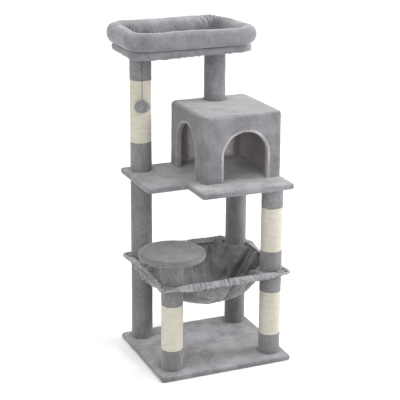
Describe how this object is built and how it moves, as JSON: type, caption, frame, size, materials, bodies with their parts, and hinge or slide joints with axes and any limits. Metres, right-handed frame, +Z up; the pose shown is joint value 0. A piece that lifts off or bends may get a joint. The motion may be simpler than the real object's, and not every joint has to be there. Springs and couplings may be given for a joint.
{
  "type": "cat tree",
  "caption": "Plush-covered cat tree with a bolstered top bed, a cave with two arched doors, a round perch, a hammock, sisal-wound posts and a hanging pom-pom.",
  "frame": {"origin": "middle of the base's underside, on the floor", "axes": "+X to the right along the front edge of the base, +Y to the back, +Z up"},
  "size_m": [0.5505, 0.557, 1.197],
  "materials": {
    "plush": "short grey plush pile, glued to boards and tubes",
    "hammock_plush": "soft grey plush cloth with a gathered elastic hem",
    "bed_plush": "soft grey plush over loose filling",
    "house_felt": "grey plush lining",
    "binding": "light grey plush binding folded over the doorway edge",
    "sisal": "natural sisal rope, close wound",
    "cardboard": "spiral-wound cardboard tube",
    "particle_board": "raw particle board",
    "plug_plastic": "moulded plastic end plug",
    "zinc_plated_steel": "zinc-plated steel fasteners",
    "dark_metal": "dark eyelet",
    "nonwoven_lining": "thin black non-woven cloth",
    "string": "dark grey braided string",
    "pom_yarn": "loose grey yarn"
  },
  "bodies": {
    "tree": {"base_board": "particle_board", "base_cover": "plush", "base_lining": "nonwoven_lining", "bed_board": "particle_board", "bed_bolster": "bed_plush", "bed_cover": "plush", "bed_left_post_plush": "plush", "bed_left_post_sisal": "sisal", "bed_left_post_tube": "cardboard", "bed_mat": "bed_plush", "bed_right_post_plush": "plush", "bed_right_post_tube": "cardboard", "bolt_washers": "zinc_plated_steel", "front_arch_trim": "binding", "furniture_bolts": "zinc_plated_steel", "hammock_cloth": "hammock_plush", "hammock_eyelets": "dark_metal", "hammock_hem": "hammock_plush", "hammock_studs": "zinc_plated_steel", "house_back_panel": "particle_board", "house_floor_screws": "zinc_plated_steel", "house_front_panel": "particle_board", "house_left_panel": "particle_board", "house_lining": "house_felt", "house_right_panel": "particle_board", "house_roof_cover": "plush", "house_roof_panel": "particle_board", "house_roof_screws": "zinc_plated_steel", "house_wall_cover": "plush", "left_arch_trim": "binding", "lower_back_left_post_plush": "plush", "lower_back_left_post_tube": "cardboard", "lower_back_right_post_plush": "plush", "lower_back_right_post_tube": "cardboard", "lower_front_left_post_plush": "plush", "lower_front_left_post_sisal": "sisal", "lower_front_left_post_tube": "cardboard", "lower_front_right_post_plush": "plush", "lower_front_right_post_sisal": "sisal", "lower_front_right_post_tube": "cardboard", "perch_board": "particle_board", "perch_cover": "plush", "perch_post_plush": "plush", "perch_post_tube": "cardboard", "platform_board": "particle_board", "platform_cover": "plush", "platform_stud": "zinc_plated_steel", "pom_staple": "zinc_plated_steel", "post_end_plugs": "plug_plastic", "upper_back_left_post_plush": "plush", "upper_back_left_post_tube": "cardboard", "upper_back_right_post_plush": "plush", "upper_back_right_post_tube": "cardboard", "upper_front_right_post_plush": "plush", "upper_front_right_post_sisal": "sisal", "upper_front_right_post_tube": "cardboard"},
    "string_loop": {"pom_loop": "string"},
    "pom": {"pom_knot": "string", "pom_cord": "string", "pom_pom": "pom_yarn"}
  },
  "joints": [
    {"name": "pom_swing_forward", "type": "hinge", "parent": "tree", "child": "string_loop", "pos_m": [-0.207, 0.084, 1.096], "axis": [-1, 0, 0], "range_deg": [-1, 40]},
    {"name": "pom_swing_sideways", "type": "hinge", "parent": "string_loop", "child": "pom", "pos_m": [-0.207, 0.084, 1.09], "axis": [0, 1, 0], "range_deg": [-35, 35]}
  ]
}
